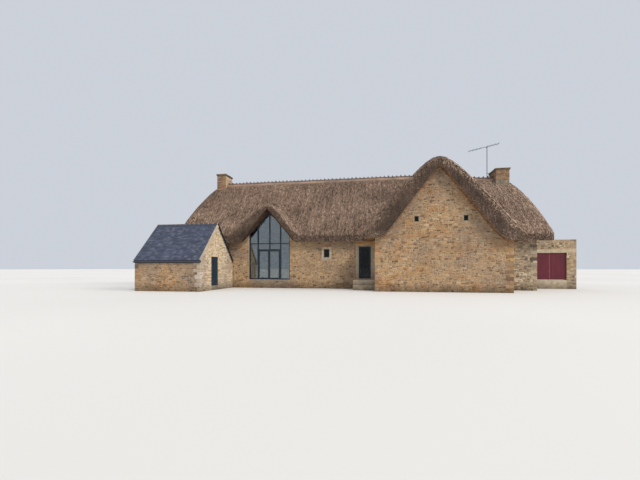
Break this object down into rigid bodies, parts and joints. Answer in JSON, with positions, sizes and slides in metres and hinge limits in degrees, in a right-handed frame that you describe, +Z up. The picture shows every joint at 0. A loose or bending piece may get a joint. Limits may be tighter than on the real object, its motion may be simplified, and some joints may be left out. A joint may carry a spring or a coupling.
{
  "type": "thatched cottage",
  "caption": "Long stone cottage with a thatched roof, gabled front wing, glazed screen under swept-up thatch, slated outbuilding and walled gateway with doors that turn.",
  "frame": {"origin": "on the wing's centre line, midway through the wing's gable wall, at the lowest ground", "axes": "+X along the front to the right as seen from the garden, +Y into the house, +Z up"},
  "size_m": [28.59, 12.9098, 10.8575],
  "materials": {
    "thatch": "weathered water reed",
    "ridge_capping": "dull clay-coloured capping",
    "rubble_stone": "rubble masonry with pale mortar",
    "chimney_stone": "weathered masonry",
    "floor_stone": "dull flagstones",
    "window_surround": "dressed stone round a small glazed light",
    "screen_metal": "satin dark blue-grey paint",
    "screen_glass": "clear glass",
    "dressed_stone": "dressed pale stone",
    "lintel_timber": "stained oak",
    "entrance_door_paint": "dark paint",
    "outbuilding_stone": "rubble masonry, paler than the house",
    "slate": "natural slate",
    "outbuilding_door_paint": "dark petrol-blue paint",
    "gateway_stone": "grey rubble masonry",
    "gateway_dressed_stone": "pale dressed stone",
    "gate_paint": "burgundy paint",
    "aerial_metal": "weathered tube"
  },
  "bodies": {
    "house": {"thatch_half_hip_west": "thatch", "thatch_front_slope": "thatch", "thatch_wing_west_slope": "thatch", "thatch_wing_east_slope": "thatch", "thatch_back_slope": "thatch", "thatch_half_hip_east": "thatch", "ridge_capping": "ridge_capping", "front_wall_west": "rubble_stone", "front_wall_centre": "rubble_stone", "front_wall_east": "rubble_stone", "end_wall_west": "rubble_stone", "end_wall_east": "rubble_stone", "back_wall": "rubble_stone", "wing_gable_wall": "rubble_stone", "wing_wall_west": "rubble_stone", "wing_wall_east": "rubble_stone", "chimney_west": "chimney_stone", "chimney_east": "chimney_stone", "ground_floor": "floor_stone", "outbuilding_floor": "floor_stone", "small_window": "window_surround", "gable_light_west": "window_surround", "gable_light_east": "window_surround", "back_window_west": "window_surround", "back_window_east": "window_surround", "screen_frame": "screen_metal", "screen_glass": "screen_glass", "entrance_surround": "dressed_stone", "entrance_landing": "dressed_stone", "entrance_lintel": "lintel_timber", "outbuilding_walls": "outbuilding_stone", "outbuilding_gable_south": "outbuilding_stone", "outbuilding_gable_north": "outbuilding_stone", "outbuilding_gable_head": "outbuilding_stone", "outbuilding_front_slates": "slate", "outbuilding_rear_slates": "slate", "outbuilding_ridge": "slate", "gateway_pier_west": "gateway_stone", "gateway_pier_east": "gateway_stone", "gateway_wall_head": "gateway_stone", "gateway_lintel": "gateway_dressed_stone", "gateway_threshold": "gateway_dressed_stone", "aerial": "aerial_metal"},
    "entrance_leaf": {"entrance_door": "entrance_door_paint"},
    "screen_leaf_west": {"screen_door_west": "screen_metal"},
    "screen_leaf_east": {"screen_door_east": "screen_metal"},
    "outbuilding_leaf": {"outbuilding_door": "outbuilding_door_paint"},
    "gate_leaf_west_body": {"gate_leaf_west": "gate_paint"},
    "gate_leaf_east_body": {"gate_leaf_east": "gate_paint"}
  },
  "joints": [
    {"name": "entrance_hinge", "type": "hinge", "parent": "house", "child": "entrance_leaf", "pos_m": [-5.082, 2.392, 0.732], "axis": [0, 0, 1], "range_deg": [0, 90]},
    {"name": "screen_hinge_west", "type": "hinge", "parent": "house", "child": "screen_leaf_west", "pos_m": [-12.447, 2.397, 0.615], "axis": [0, 0, 1], "range_deg": [0, 90]},
    {"name": "screen_hinge_east", "type": "hinge", "parent": "house", "child": "screen_leaf_east", "pos_m": [-10.843, 2.397, 0.615], "axis": [0, 0, -1], "range_deg": [0, 90]},
    {"name": "outbuilding_hinge", "type": "hinge", "parent": "house", "child": "outbuilding_leaf", "pos_m": [-14.532, -0.952, 0.305], "axis": [0, 0, 1], "range_deg": [0, 90]},
    {"name": "gate_hinge_west", "type": "hinge", "parent": "house", "child": "gate_leaf_west_body", "pos_m": [6.968, 4.672, 0.64], "axis": [0, 0, 1], "range_deg": [0, 90]},
    {"name": "gate_hinge_east", "type": "hinge", "parent": "house", "child": "gate_leaf_east_body", "pos_m": [9.032, 4.672, 0.64], "axis": [0, 0, -1], "range_deg": [0, 90]}
  ]
}
